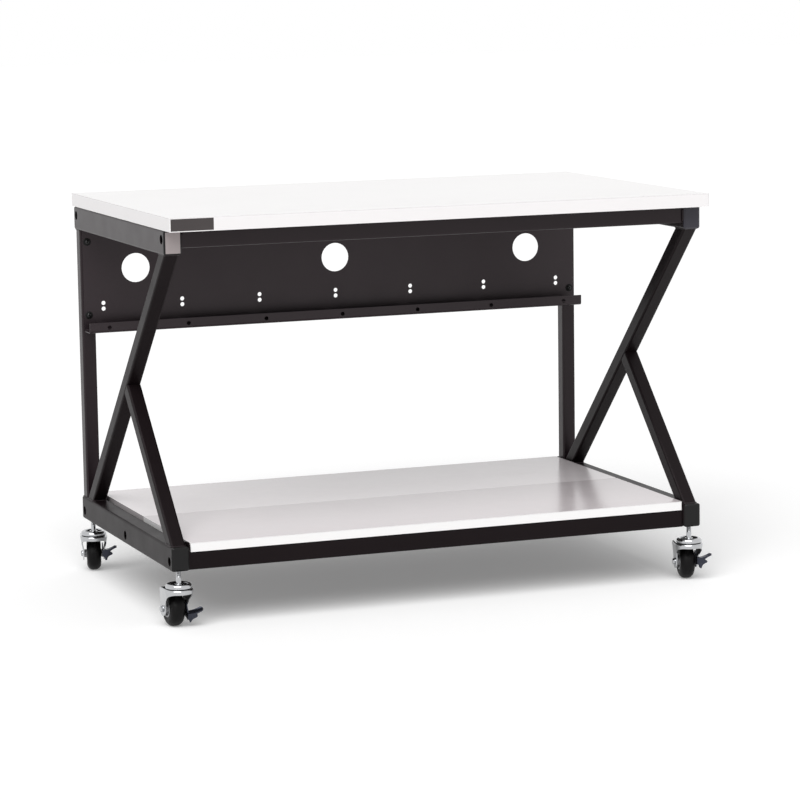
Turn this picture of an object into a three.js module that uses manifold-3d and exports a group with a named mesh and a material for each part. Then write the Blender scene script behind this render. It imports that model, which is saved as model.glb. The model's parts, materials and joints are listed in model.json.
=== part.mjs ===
// Mobile assembly table: a laminated top and a two-board shelf on bolted steel end frames with four casters.
// Millimetres, +Z up, +X to the right along the table, front towards -Y.
// The origin is on the floor under the middle of the top.
import * as THREE from 'three';
import { mergeVertices } from 'three/addons/utils/BufferGeometryUtils.js';
import Module from 'manifold-3d';

const wasm = await Module();
wasm.setup();

// Driving dimensions
const INCH = 25.4;
const TOP_WIDTH = 48 * INCH;
const TOP_DEPTH = 30 * INCH;
const TOP_THICKNESS = 1.125 * INCH;
const FRAME_HEIGHT = 28 * INCH;
const FRAME_DEPTH = 27.5 * INCH;
const FRAME_CENTRE_Y = 0.55 * INCH;
const CASTER_HEIGHT = 125;
const SEAT_GAP = 0.3;

// Facets: curve steps of drawn corners, and sides of round pieces and holes
const ARC_STEPS = 1;
const ROUND_STEPS = 4;
const PEDAL_STEPS = 2;
const LEG_STEPS = 6;
const CROWN_STEPS = 8;
const HEX_SIDES = 6;
const BOLT_SIDES = 8;
const STEM_SIDES = 10;
const AXLE_SIDES = 12;
const ACCESS_SIDES = 16;
const TURNED_SIDES = 16;
const CABLE_HOLE_SIDES = 28;

// Steel sections
const WALL = 2;
const CORNER_RADIUS = 4;
const RAIL_WIDTH = 1.5 * INCH;
const RAIL_HEIGHT = 2 * INCH;
const STRUT_SIZE = 1.25 * INCH;
const CROSS_HEIGHT = 1.5 * INCH;
const CROSS_DEPTH = 1 * INCH;
const PLATE_THICKNESS = 3;
const PLATE_DEPTH = 1.25 * INCH;
const PLATE_RISE = 2.3 * INCH;
const PLATE_RADIUS = 9;

// Where the rails, cross rails and struts stand
const RAIL_X = TOP_WIDTH / 2 - RAIL_WIDTH / 2;
const RAIL_INNER_X = RAIL_X - RAIL_WIDTH / 2;
const FRAME_BOTTOM = CASTER_HEIGHT;
const FRAME_TOP = FRAME_BOTTOM + FRAME_HEIGHT;
const LOWER_RAIL_TOP = FRAME_BOTTOM + RAIL_HEIGHT;
const UPPER_RAIL_BOTTOM = FRAME_TOP - RAIL_HEIGHT;
const CROSS_OFFSET = FRAME_DEPTH / 2 - 0.75 * INCH;
const CROSS_PLACES = { front: FRAME_CENTRE_Y - CROSS_OFFSET, rear: FRAME_CENTRE_Y + CROSS_OFFSET };
const LOWER_BOLT_Z = FRAME_BOTTOM + CROSS_HEIGHT / 2;
const UPPER_BOLT_Z = FRAME_TOP - CROSS_HEIGHT / 2;
const LEG_Y = FRAME_CENTRE_Y + FRAME_DEPTH / 2 - 0.05 * INCH - STRUT_SIZE / 2;
const LONG_BRACE_FOOT_Y = FRAME_CENTRE_Y + 11.45 * INCH;
const SHORT_BRACE_FOOT_Y = FRAME_CENTRE_Y - 12.4 * INCH;
const BRACE_ANGLE = Math.PI / 4;

// Holes in the side rails
const ACCESS_RADIUS = 10;
const BOLT_RADIUS = 4.5;
const STEM_HOLE_RADIUS = 6.2;

// End caps
const CAP_THICKNESS = 6;
const CAP_BEVEL = 3;
const PLUG_DEPTH = 6;
const PLUG_WALL = 2.5;
const SILVER_CAP = 'top_cap_front_left';

// Shelf
const SHELF_THICKNESS = 0.75 * INCH;
const SHELF_FRONT_LIP = 1.5;
const SHELF_SIDE_GAP = 0.8;
const SHELF_HALF_WIDTH = RAIL_INNER_X - SEAT_GAP - PLATE_THICKNESS - SHELF_SIDE_GAP;
const SHELF_SEAM = 0.6;
const BOARD_CORNER_RADIUS = 3;

// Back panel with its cable tray
const SHEET = 2;
const SHEET_BEND = 5;
const PANEL_HALF_WIDTH = 23.7 * INCH;
const PANEL_BOTTOM = FRAME_BOTTOM + 16.95 * INCH;
const PANEL_TOP = UPPER_RAIL_BOTTOM - 2;
const PANEL_BACK_Y = LEG_Y - STRUT_SIZE / 2 - SEAT_GAP;
const TRAY_DEPTH = 1.8 * INCH;
const TRAY_LIP_HEIGHT = 0.92 * INCH;
const CABLE_HOLE_RADIUS = 1.3 * INCH;
const CABLE_HOLE_PITCH = 18.85 * INCH;
const CABLE_HOLE_Z = FRAME_BOTTOM + 22.42 * INCH;
const TIE_HOLE_RADIUS = 5;
const TIE_HOLE_PITCH = 7.3 * INCH;
const TIE_HOLES_EACH_SIDE = 3;
const TIE_HOLE_HEIGHTS = [FRAME_BOTTOM + 18.91 * INCH, FRAME_BOTTOM + 19.42 * INCH];

// Casters: the stem stands on the local origin and the wheel trails behind it
const TRAIL = 36;
const CASTER_TURN_DEG = { front_left: 3, front_right: -14, rear_left: -14, rear_right: -6 };
const SWIVEL_CLEARANCE = 0.5;
const STEM_RADIUS = 5.5;
const STEM_TOP = CASTER_HEIGHT + 18;
const STEM_CHAMFER = 1;
const PIN_HEAD_RADIUS = 9;
const PIN_HEAD_HEIGHT = 3.7;
const PIN_GAP = 0.8;

// Swivel cup: a wide ring, a narrower rim with a dish inside it, and a boss round the stem
const CUP_BOTTOM = 88;
const CUP_RING_TOP = 91.5;
const CUP_DISH = 93.5;
const CUP_RIM_TOP = 98;
const CUP_TOP = 101;
const CUP_RADIUS = 28.5;
const CUP_RIM_RADIUS = 26.2;
const CUP_RIM_WALL = 3.2;
const CUP_BOSS_RADIUS = 11;
const CUP_BOSS_DRAFT = 2;
const CUP_EDGE = 1.2;

// Fork pressed from one sheet
const FORK_WALL = 2.5;
const FORK_INNER = 22;
const FORK_OUTER = FORK_INNER + FORK_WALL;
const FORK_KNEE = 48;
const FORK_SHOULDER = 64;
const FORK_BOSS_RADIUS = 15;
const CROWN_RADIUS = 31;
const CROWN_BACK = 33;
const CROWN_TOP = 86.5;
const CROWN_ROUND = 4;
const CROWN_SKIRT = 78.5;
const CROWN_SKIRT_END = -26;
const ARCH_BEND = [new THREE.Vector2(-10, 68), new THREE.Vector2(12, 56)];
const BOSS_FRONT_ANGLE = THREE.MathUtils.degToRad(160);
const BOSS_BACK_ANGLE = THREE.MathUtils.degToRad(375);

// Wheel: a round tyre on a hub with a ring at each side
const WHEEL_RADIUS = 38;
const WHEEL_SEGMENTS = 24;
const TYRE_HALF_WIDTH = 16;
const TYRE_BORE = 19.4;
const TYRE_SHOULDER = 25;
const TYRE_EDGE = 1.5;
const TREAD_HALF_FLAT = 3;
const TREAD_STEPS = 3;
const HUB_RADIUS = 19;
const HUB_RING_RADIUS = 15.5;
const HUB_RING_HALF = 16;
const HUB_WEB_HALF = 10;
const HUB_BOSS_RADIUS = 9;
const HUB_DRAFT = 1;
const HUB_REACH = { left: 21.5, right: 18.2 };
const AXLE_RADIUS = 4;
const AXLE_HOLE_RADIUS = 4.35;
const BOLT_HEAD_RADIUS = 7.5;
const BOLT_HEAD_THICKNESS = 5.5;
const NUT_THICKNESS = 6;

// Brake lever: an arm beside the hub, and a pedal in front of the fork with a wing up and a wing down
const LEVER_THICKNESS = 2.5;
const LEVER_GAP = 0.4;
const LEVER_EYE_RADIUS = 10;
const LEVER_EYE_START = THREE.MathUtils.degToRad(-110);
const LEVER_EYE_END = THREE.MathUtils.degToRad(75);
const SHOE_TOP = new THREE.Vector2(-7, 25);
const SHOE_FRONT = new THREE.Vector2(-14, 24);
const ARM_FRONT = -34;
const ARM_TOP = 13;
const ARM_FOOT = -2;
const PEDAL_FRONT = -39;
const PEDAL_BACK = -26;
const PEDAL_CORNER = 5;
const WING_REACH = 33;
const WING_TIP = 21;
const WING_THICKNESS = 4;
const LOBE_REACH = 23;
const LOBE_HEIGHT = 3.5;
const NOTCH = new THREE.Vector2(18, 8.5);
const FOOT_TIP = new THREE.Vector2(11, -10.5);
const FOOT_WIDTH = 4;
const BRAKE_TRAVEL_DEG = 30;
const BRAKE_ON = ['front_left'];

const paint = (color, roughness, metalness) =>
  new THREE.MeshStandardMaterial({ color, roughness, metalness });
const FINISH = {
  laminate: () => paint(0xf4f2f1, 0.45, 0),
  shelf: () => paint(0xdcd6d7, 0.25, 0),
  powderCoat: () => paint(0x262424, 0.55, 0.1),
  blackPlastic: () => paint(0x1c1b1c, 0.6, 0),
  greyPlastic: () => paint(0x8e8d8f, 0.5, 0),
  chrome: () => paint(0xc9ccd0, 0.15, 1),
  rubber: () => paint(0x141414, 0.7, 0),
  stampedSteel: () => paint(0x4a4b50, 0.4, 0.8),
};

const table = new THREE.Group();

function place(name, geometry, material, parent = table) {
  const mesh = new THREE.Mesh(geometry, material);
  mesh.name = name;
  parent.add(mesh);
  return mesh;
}

// Boolean joins and cuts on closed geometries
function solid(geometry) {
  const bare = geometry.clone();
  bare.deleteAttribute('normal');
  bare.deleteAttribute('uv');
  const merged = mergeVertices(bare);
  const vertProperties = new Float32Array(merged.attributes.position.array);
  const triVerts = new Uint32Array(merged.index.array);
  return new wasm.Manifold(new wasm.Mesh({ numProp: 3, vertProperties, triVerts }));
}

function geometryOf(body) {
  const mesh = body.getMesh();
  const geometry = new THREE.BufferGeometry();
  geometry.setAttribute('position', new THREE.BufferAttribute(mesh.vertProperties, 3));
  geometry.setIndex(new THREE.BufferAttribute(mesh.triVerts, 1));
  geometry.computeVertexNormals();
  return geometry;
}

const cut = (geometry, tools) =>
  geometryOf(tools.reduce((body, tool) => body.subtract(solid(tool)), solid(geometry)));
const join = (geometry, others) =>
  geometryOf(others.reduce((body, other) => body.add(solid(other)), solid(geometry)));
const common = (geometry, other) => geometryOf(solid(geometry).intersect(solid(other)));

// Shapes and bars
function roundedRect(width, height, radius) {
  const x = width / 2 - radius;
  const y = height / 2 - radius;
  const shape = new THREE.Shape();
  shape.absarc(x, y, radius, 0, Math.PI / 2);
  shape.absarc(-x, y, radius, Math.PI / 2, Math.PI);
  shape.absarc(-x, -y, radius, Math.PI, Math.PI * 1.5);
  shape.absarc(x, -y, radius, Math.PI * 1.5, Math.PI * 2);
  return shape;
}

function rectangle(width, height) {
  const x = width / 2;
  const y = height / 2;
  const corners = [[x, y], [-x, y], [-x, -y], [x, -y]];
  return new THREE.Shape(corners.map(([u, v]) => new THREE.Vector2(u, v)));
}

function extrude(shape, depth, curveSegments = ARC_STEPS) {
  const geometry = new THREE.ExtrudeGeometry(shape, { depth, curveSegments, bevelEnabled: false });
  return geometry.translate(0, 0, -depth / 2);
}

// Turns an extrusion so that it runs along Y or X, with its drawn height up Z
const alongY = (geometry) => geometry.rotateX(Math.PI / 2);
const alongX = (geometry) => geometry.rotateX(Math.PI / 2).rotateZ(Math.PI / 2);

function hollowSection(width, height) {
  const shape = roundedRect(width, height, CORNER_RADIUS);
  shape.holes.push(rectangle(width - 2 * WALL, height - 2 * WALL));
  return shape;
}

const bar = (width, height, length) => extrude(hollowSection(width, height), length);
const box = (width, depth, height) => new THREE.BoxGeometry(width, depth, height);
const rodX = (radius, length, segments) =>
  new THREE.CylinderGeometry(radius, radius, length, segments).rotateZ(Math.PI / 2);
const rodY = (radius, length, segments) => new THREE.CylinderGeometry(radius, radius, length, segments);
const rodZ = (radius, length, segments) =>
  new THREE.CylinderGeometry(radius, radius, length, segments).rotateX(Math.PI / 2);

// Revolves points of radius and height about Z
function turned(points, segments, closed = false) {
  const profile = points.map(([radius, height]) => new THREE.Vector2(radius, height));
  if (closed) profile.push(profile[0].clone());
  return new THREE.LatheGeometry(profile, segments, Math.PI / segments).rotateX(Math.PI / 2);
}

function board(width, depth, thickness) {
  return extrude(roundedRect(width, depth, BOARD_CORNER_RADIUS), thickness);
}

// Side rail with access holes in the outer wall and bolt holes in the inner wall
function sideRail(side, boltZ, boltPlaces, railZ) {
  const length = FRAME_DEPTH - 2 * (CAP_THICKNESS + SEAT_GAP);
  const rail = alongY(bar(RAIL_WIDTH, RAIL_HEIGHT, length)).translate(side * RAIL_X, FRAME_CENTRE_Y, railZ);
  const outerWall = RAIL_X + RAIL_WIDTH / 2 - WALL / 2;
  const innerWall = RAIL_INNER_X + WALL / 2;
  const holes = boltPlaces.flatMap((y) => [
    rodX(ACCESS_RADIUS, 3 * WALL, ACCESS_SIDES).translate(side * outerWall, y, boltZ),
    rodX(BOLT_RADIUS, 3 * WALL, BOLT_SIDES).translate(side * innerWall, y, boltZ),
  ]);
  return cut(rail, holes);
}

function addEndFrame(side, name) {
  const { front, rear } = CROSS_PLACES;
  const frame = new THREE.Group();
  table.add(frame);

  const upper = sideRail(side, UPPER_BOLT_Z, [front, rear], FRAME_TOP - RAIL_HEIGHT / 2);
  place(`top_rail_${name}`, upper, FINISH.powderCoat(), frame);

  const lower = sideRail(side, LOWER_BOLT_Z, [front, FRAME_CENTRE_Y, rear], FRAME_BOTTOM + RAIL_HEIGHT / 2);
  const stemHoles = [front, rear].map((y) =>
    rodZ(STEM_HOLE_RADIUS, 3 * WALL, AXLE_SIDES).translate(side * RAIL_X, y, FRAME_BOTTOM + WALL / 2));
  place(`bottom_rail_${name}`, cut(lower, stemHoles), FINISH.powderCoat(), frame);

  const clearHeight = UPPER_RAIL_BOTTOM - LOWER_RAIL_TOP - 2 * SEAT_GAP;
  const middleZ = (UPPER_RAIL_BOTTOM + LOWER_RAIL_TOP) / 2;
  const leg = bar(STRUT_SIZE, STRUT_SIZE, clearHeight).translate(side * RAIL_X, LEG_Y, middleZ);
  place(`rear_leg_${name}`, leg, FINISH.powderCoat(), frame);

  // The braces cross at a right angle, so the short one meets the long one with a square end
  const span = SHORT_BRACE_FOOT_Y - LONG_BRACE_FOOT_Y;
  const meetY = (SHORT_BRACE_FOOT_Y + LONG_BRACE_FOOT_Y) / 2;
  const meetZ = LOWER_RAIL_TOP - span / 2;
  const slab = box(2 * STRUT_SIZE, 2 * FRAME_DEPTH, clearHeight).translate(side * RAIL_X, meetY, middleZ);
  const longLength = 2 * FRAME_HEIGHT;
  const long = alongY(bar(STRUT_SIZE, STRUT_SIZE, longLength)).rotateX(-BRACE_ANGLE)
    .translate(side * RAIL_X, meetY, meetZ);
  place(`long_brace_${name}`, common(long, slab), FINISH.powderCoat(), frame);

  const shortLength = FRAME_HEIGHT;
  const headGap = STRUT_SIZE / 2 + SEAT_GAP;
  const short = alongY(bar(STRUT_SIZE, STRUT_SIZE, shortLength))
    .translate(0, -shortLength / 2 - headGap, 0)
    .rotateX(BRACE_ANGLE)
    .translate(side * RAIL_X, meetY, meetZ);
  place(`short_brace_${name}`, common(short, slab), FINISH.powderCoat(), frame);
}

// Cross rail with a bolted end plate welded on each end
function crossRail(y, centreZ, plateTop) {
  const reach = RAIL_INNER_X - SEAT_GAP;
  const rail = alongX(bar(CROSS_DEPTH, CROSS_HEIGHT, 2 * (reach - PLATE_THICKNESS / 2)));
  const plateHeight = plateTop - (centreZ - CROSS_HEIGHT / 2);
  const plates = [-1, 1].map((side) =>
    alongX(extrude(roundedRect(PLATE_DEPTH, plateHeight, PLATE_RADIUS), PLATE_THICKNESS))
      .translate(side * (reach - PLATE_THICKNESS / 2), 0, (plateHeight - CROSS_HEIGHT) / 2));
  const bolts = [-1, 1].map((side) =>
    rodX(BOLT_RADIUS, 4 * PLATE_THICKNESS, BOLT_SIDES).translate(side * reach, 0, 0));
  return cut(join(rail, plates), bolts).translate(0, y, centreZ);
}

function addCrossRails() {
  const { front, rear } = CROSS_PLACES;
  const plateTop = FRAME_BOTTOM + PLATE_RISE;
  for (const [name, y] of [['front', front], ['rear', rear]]) {
    place(`top_cross_rail_${name}`, crossRail(y, UPPER_BOLT_Z, FRAME_TOP), FINISH.powderCoat());
  }
  for (const [name, y] of [['front', front], ['centre', FRAME_CENTRE_Y], ['rear', rear]]) {
    const top = name === 'centre' ? FRAME_BOTTOM + CROSS_HEIGHT : plateTop;
    place(`bottom_cross_rail_${name}`, crossRail(y, LOWER_BOLT_Z, top), FINISH.powderCoat());
  }
}

// Push-in cap: a domed face with a hollow plug behind it, drawn facing +Z
function endCap() {
  const face = new THREE.ExtrudeGeometry(roundedRect(RAIL_WIDTH, RAIL_HEIGHT, CORNER_RADIUS), {
    depth: CAP_THICKNESS - CAP_BEVEL,
    curveSegments: ARC_STEPS,
    bevelThickness: CAP_BEVEL,
    bevelSize: CAP_BEVEL,
    bevelOffset: -CAP_BEVEL,
    bevelSegments: 1,
  });
  const front = common(face, box(RAIL_WIDTH, RAIL_HEIGHT, CAP_THICKNESS).translate(0, 0, CAP_THICKNESS / 2));
  const plugWidth = RAIL_WIDTH - 2 * WALL - 2 * SEAT_GAP;
  const plugHeight = RAIL_HEIGHT - 2 * WALL - 2 * SEAT_GAP;
  const ring = roundedRect(plugWidth, plugHeight, CORNER_RADIUS - WALL);
  ring.holes.push(rectangle(plugWidth - 2 * PLUG_WALL, plugHeight - 2 * PLUG_WALL));
  const overlap = 1;
  const plug = extrude(ring, PLUG_DEPTH + overlap).translate(0, 0, (overlap - PLUG_DEPTH) / 2);
  return join(front, [plug]);
}

function addEndCaps() {
  const levels = { top: FRAME_TOP - RAIL_HEIGHT / 2, bottom: FRAME_BOTTOM + RAIL_HEIGHT / 2 };
  const seat = FRAME_DEPTH / 2 - CAP_THICKNESS;
  for (const [level, z] of Object.entries(levels)) {
    for (const [sideName, side] of [['left', -1], ['right', 1]]) {
      for (const [endName, end] of [['front', -1], ['rear', 1]]) {
        const name = `${level}_cap_${endName}_${sideName}`;
        const cap = place(name, endCap(), name === SILVER_CAP ? FINISH.greyPlastic() : FINISH.blackPlastic());
        cap.rotation.set(Math.PI / 2, end > 0 ? Math.PI : 0, 0);
        cap.position.set(side * RAIL_X, FRAME_CENTRE_Y + end * seat, z);
      }
    }
  }
}

function addBoards() {
  const topZ = FRAME_TOP + SEAT_GAP + TOP_THICKNESS / 2;
  place('tabletop', board(TOP_WIDTH, TOP_DEPTH, TOP_THICKNESS).translate(0, 0, topZ), FINISH.laminate());
  const shelfZ = FRAME_BOTTOM + CROSS_HEIGHT + SEAT_GAP + SHELF_THICKNESS / 2;
  const edge = CROSS_OFFSET + CROSS_DEPTH / 2 + SHELF_FRONT_LIP;
  const depth = edge - SHELF_SEAM / 2;
  for (const [name, side] of [['front', -1], ['rear', 1]]) {
    const y = FRAME_CENTRE_Y + side * (edge + SHELF_SEAM / 2) / 2;
    const shelf = board(2 * SHELF_HALF_WIDTH, depth, SHELF_THICKNESS).translate(0, y, shelfZ);
    place(`shelf_${name}`, shelf, FINISH.shelf());
  }
}

// One bent sheet: the upright panel, the tray floor and the turned-up lip
function addBackPanel() {
  const back = PANEL_BACK_Y;
  const lip = back - SHEET - TRAY_DEPTH;
  const lipTop = PANEL_BOTTOM + TRAY_LIP_HEIGHT;
  const bendZ = PANEL_BOTTOM + SHEET_BEND;
  const inside = SHEET_BEND - SHEET;
  const quarter = Math.PI / 2;
  const sheet = new THREE.Shape();
  sheet.moveTo(back, PANEL_TOP);
  sheet.lineTo(back - SHEET, PANEL_TOP);
  sheet.absarc(back - SHEET_BEND, bendZ, inside, 0, -quarter, true);
  sheet.absarc(lip + SHEET_BEND, bendZ, inside, -quarter, -2 * quarter, true);
  sheet.lineTo(lip + SHEET, lipTop);
  sheet.lineTo(lip, lipTop);
  sheet.absarc(lip + SHEET_BEND, bendZ, SHEET_BEND, 2 * quarter, 3 * quarter);
  sheet.absarc(back - SHEET_BEND, bendZ, SHEET_BEND, 3 * quarter, 4 * quarter);
  const panel = alongX(extrude(sheet, 2 * PANEL_HALF_WIDTH));

  const punch = (radius, x, y, z, segments) => rodY(radius, 4 * SHEET, segments).translate(x, y, z);
  const panelY = back - SHEET / 2;
  const holes = [-1, 0, 1].map((i) =>
    punch(CABLE_HOLE_RADIUS, i * CABLE_HOLE_PITCH, panelY, CABLE_HOLE_Z, CABLE_HOLE_SIDES));
  for (let i = -TIE_HOLES_EACH_SIDE; i <= TIE_HOLES_EACH_SIDE; i += 1) {
    const x = i * TIE_HOLE_PITCH;
    for (const z of TIE_HOLE_HEIGHTS) holes.push(punch(TIE_HOLE_RADIUS, x, panelY, z, BOLT_SIDES));
    holes.push(punch(TIE_HOLE_RADIUS, x, lip + SHEET / 2, PANEL_BOTTOM + TRAY_LIP_HEIGHT / 2, BOLT_SIDES));
  }
  place('back_panel', cut(panel, holes), FINISH.powderCoat());
}

// Caster pieces, drawn on the local origin with the wheel trailing towards +Y
function casterStem() {
  const headTop = CROWN_TOP - FORK_WALL - PIN_GAP;
  const headBottom = headTop - PIN_HEAD_HEIGHT;
  return turned([
    [0, headBottom],
    [PIN_HEAD_RADIUS, headBottom],
    [PIN_HEAD_RADIUS, headTop],
    [STEM_RADIUS, headTop],
    [STEM_RADIUS, STEM_TOP - STEM_CHAMFER],
    [STEM_RADIUS - STEM_CHAMFER, STEM_TOP],
    [0, STEM_TOP],
  ], STEM_SIDES);
}

function swivelCup() {
  const bore = STEM_RADIUS + SEAT_GAP;
  const rimInside = CUP_RIM_RADIUS - CUP_RIM_WALL;
  return turned([
    [bore, CUP_BOTTOM],
    [CUP_RADIUS - CUP_EDGE, CUP_BOTTOM],
    [CUP_RADIUS, CUP_BOTTOM + CUP_EDGE],
    [CUP_RADIUS, CUP_RING_TOP],
    [CUP_RIM_RADIUS, CUP_RING_TOP + CUP_EDGE],
    [CUP_RIM_RADIUS, CUP_RIM_TOP - CUP_EDGE],
    [(CUP_RIM_RADIUS + rimInside) / 2, CUP_RIM_TOP],
    [rimInside, CUP_RIM_TOP - CUP_EDGE],
    [rimInside, CUP_DISH],
    [CUP_BOSS_RADIUS, CUP_DISH],
    [CUP_BOSS_RADIUS - CUP_BOSS_DRAFT, CUP_TOP],
    [bore, CUP_TOP],
  ], TURNED_SIDES, true);
}

// Horseshoe in plan, round in front and straight behind, from the floor up to a rounded top edge
function horseshoe(radius, back, height, edge) {
  const shape = new THREE.Shape();
  shape.absarc(0, 0, radius, Math.PI, 2 * Math.PI);
  shape.lineTo(radius, back);
  shape.lineTo(-radius, back);
  return new THREE.ExtrudeGeometry(shape, {
    depth: height - edge,
    curveSegments: CROWN_STEPS,
    bevelThickness: edge,
    bevelSize: edge,
    bevelOffset: -edge,
    bevelSegments: 1,
  });
}

// Front view of the fork: wide at the crown, closing in to the axle
function forkFront(crownHalf, legHalf) {
  const corners = [
    [crownHalf, CASTER_HEIGHT],
    [crownHalf, FORK_SHOULDER],
    [legHalf, FORK_KNEE],
    [legHalf, 0],
  ];
  const mirrored = corners.map(([x, z]) => [-x, z]).reverse();
  const shape = new THREE.Shape([...corners, ...mirrored].map(([x, z]) => new THREE.Vector2(x, z)));
  return alongY(extrude(shape, 4 * CROWN_RADIUS));
}

// Side view of the fork: a low skirt in front, an arch over the wheel and a leg down to a round boss
function forkSide() {
  const outside = CROWN_RADIUS + FORK_WALL;
  const bossFrontY = TRAIL + FORK_BOSS_RADIUS * Math.cos(BOSS_FRONT_ANGLE);
  const bossFrontZ = WHEEL_RADIUS + FORK_BOSS_RADIUS * Math.sin(BOSS_FRONT_ANGLE);
  const side = new THREE.Shape();
  side.moveTo(-outside, CROWN_SKIRT);
  side.lineTo(CROWN_SKIRT_END, CROWN_SKIRT);
  side.bezierCurveTo(ARCH_BEND[0].x, ARCH_BEND[0].y, ARCH_BEND[1].x, ARCH_BEND[1].y, bossFrontY, bossFrontZ);
  side.absarc(TRAIL, WHEEL_RADIUS, FORK_BOSS_RADIUS, BOSS_FRONT_ANGLE, BOSS_BACK_ANGLE);
  side.lineTo(CROWN_BACK, CROWN_TOP - CROWN_ROUND);
  side.lineTo(CROWN_BACK, CASTER_HEIGHT);
  side.lineTo(-outside, CASTER_HEIGHT);
  return alongX(extrude(side, 4 * CROWN_RADIUS, LEG_STEPS));
}

function casterFork() {
  const inner = CROWN_RADIUS - FORK_WALL;
  const back = TRAIL + 2 * FORK_BOSS_RADIUS;
  const crown = horseshoe(CROWN_RADIUS, back, CROWN_TOP, CROWN_ROUND);
  const hollow = horseshoe(inner, back + FORK_WALL, CROWN_TOP - FORK_WALL, CROWN_ROUND - FORK_WALL);
  const body = common(common(crown, forkFront(CROWN_RADIUS, FORK_OUTER)), forkSide());
  const sheet = cut(body, [common(hollow, forkFront(inner, FORK_INNER))]);
  const bore = STEM_RADIUS + SWIVEL_CLEARANCE;
  const stemHole = rodZ(bore, 4 * FORK_WALL, AXLE_SIDES).translate(0, 0, CROWN_TOP);
  const axleHole = rodX(AXLE_HOLE_RADIUS, 4 * CROWN_RADIUS, AXLE_SIDES).translate(0, TRAIL, WHEEL_RADIUS);
  return cut(sheet, [stemHole, axleHole]);
}

// Wheel pieces are revolved about Z, then laid on the axle
function onAxle(geometry) {
  return geometry.rotateY(Math.PI / 2).translate(0, TRAIL, WHEEL_RADIUS);
}

// The tread is straight between its corners, so its corner circle is a little larger than the wheel
function tyre() {
  const tread = WHEEL_RADIUS / Math.cos(Math.PI / WHEEL_SEGMENTS);
  const half = [[TYRE_BORE, TYRE_HALF_WIDTH - TYRE_EDGE], [TYRE_BORE + TYRE_EDGE, TYRE_HALF_WIDTH]];
  for (let step = 0; step <= TREAD_STEPS; step += 1) {
    const angle = (step / TREAD_STEPS) * (Math.PI / 2);
    half.push([
      TYRE_SHOULDER + (tread - TYRE_SHOULDER) * Math.sin(angle),
      TREAD_HALF_FLAT + (TYRE_HALF_WIDTH - TREAD_HALF_FLAT) * Math.cos(angle),
    ]);
  }
  const mirrored = half.map(([radius, x]) => [radius, -x]);
  return onAxle(turned([...mirrored, ...half.reverse()], WHEEL_SEGMENTS, true));
}

// The boss is shorter on the right, where the brake lever sits between it and the fork
function hub() {
  const face = (reach) => [
    [AXLE_HOLE_RADIUS, reach],
    [HUB_BOSS_RADIUS, reach],
    [HUB_BOSS_RADIUS + HUB_DRAFT, HUB_WEB_HALF],
    [HUB_RING_RADIUS - HUB_DRAFT, HUB_WEB_HALF],
    [HUB_RING_RADIUS, HUB_RING_HALF],
    [HUB_RADIUS, HUB_RING_HALF],
  ];
  const left = face(HUB_REACH.left).map(([radius, x]) => [radius, -x]);
  const right = face(HUB_REACH.right).reverse();
  return onAxle(turned([...left, ...right], TURNED_SIDES, true));
}

function axleBolt() {
  const headSeat = -FORK_OUTER - SEAT_GAP;
  const end = FORK_OUTER + NUT_THICKNESS + 3 * SEAT_GAP;
  const overlap = 1;
  const shaftStart = headSeat - overlap;
  const shaft = rodX(AXLE_RADIUS, end - shaftStart, AXLE_SIDES).translate((end + shaftStart) / 2, 0, 0);
  const head = rodX(BOLT_HEAD_RADIUS, BOLT_HEAD_THICKNESS, HEX_SIDES)
    .translate(headSeat - BOLT_HEAD_THICKNESS / 2, 0, 0);
  return join(shaft, [head]).translate(0, TRAIL, WHEEL_RADIUS);
}

function axleNut() {
  const x = FORK_OUTER + SEAT_GAP + NUT_THICKNESS / 2;
  const hole = rodX(AXLE_HOLE_RADIUS, 2 * NUT_THICKNESS, AXLE_SIDES);
  const nut = cut(rodX(BOLT_HEAD_RADIUS, NUT_THICKNESS, HEX_SIDES), [hole]);
  return nut.translate(x, TRAIL, WHEEL_RADIUS);
}

// Side view of the lever's arm about the axle: an eye, a finger up beside the tyre and an arm forwards
function leverArm() {
  const shape = new THREE.Shape();
  shape.absarc(0, 0, LEVER_EYE_RADIUS, LEVER_EYE_START, LEVER_EYE_END);
  for (const corner of [SHOE_TOP, SHOE_FRONT]) shape.lineTo(corner.x, corner.y);
  shape.lineTo(ARM_FRONT, ARM_TOP);
  shape.lineTo(ARM_FRONT, ARM_FOOT);
  return alongX(extrude(shape, LEVER_THICKNESS, ROUND_STEPS)).translate(LEVER_THICKNESS / 2, 0, 0);
}

// Front view of the pedal from the arm outwards: a long wing up, a lobe and a short foot, round in plan
function pedal() {
  const shape = new THREE.Shape();
  shape.moveTo(0, ARM_FOOT);
  shape.quadraticCurveTo(FOOT_TIP.x - FOOT_WIDTH, ARM_FOOT, FOOT_TIP.x - FOOT_WIDTH, FOOT_TIP.y);
  shape.lineTo(FOOT_TIP.x, FOOT_TIP.y);
  shape.quadraticCurveTo(FOOT_TIP.x, ARM_FOOT, LOBE_REACH, LOBE_HEIGHT - WING_THICKNESS / 2);
  shape.lineTo(LOBE_REACH, LOBE_HEIGHT + WING_THICKNESS / 2);
  shape.lineTo(NOTCH.x, NOTCH.y);
  shape.quadraticCurveTo(LOBE_REACH, WING_TIP - 2 * WING_THICKNESS, WING_REACH, WING_TIP - WING_THICKNESS);
  shape.lineTo(WING_REACH, WING_TIP);
  shape.quadraticCurveTo(NOTCH.x, ARM_TOP, 0, ARM_TOP);
  const depth = PEDAL_BACK - PEDAL_FRONT;
  const block = alongY(extrude(shape, depth, PEDAL_STEPS));
  const plan = extrude(roundedRect(2 * WING_REACH, depth, PEDAL_CORNER), 2 * WHEEL_RADIUS, PEDAL_STEPS);
  return common(block, plan).translate(0, (PEDAL_BACK + PEDAL_FRONT) / 2, 0);
}

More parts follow.
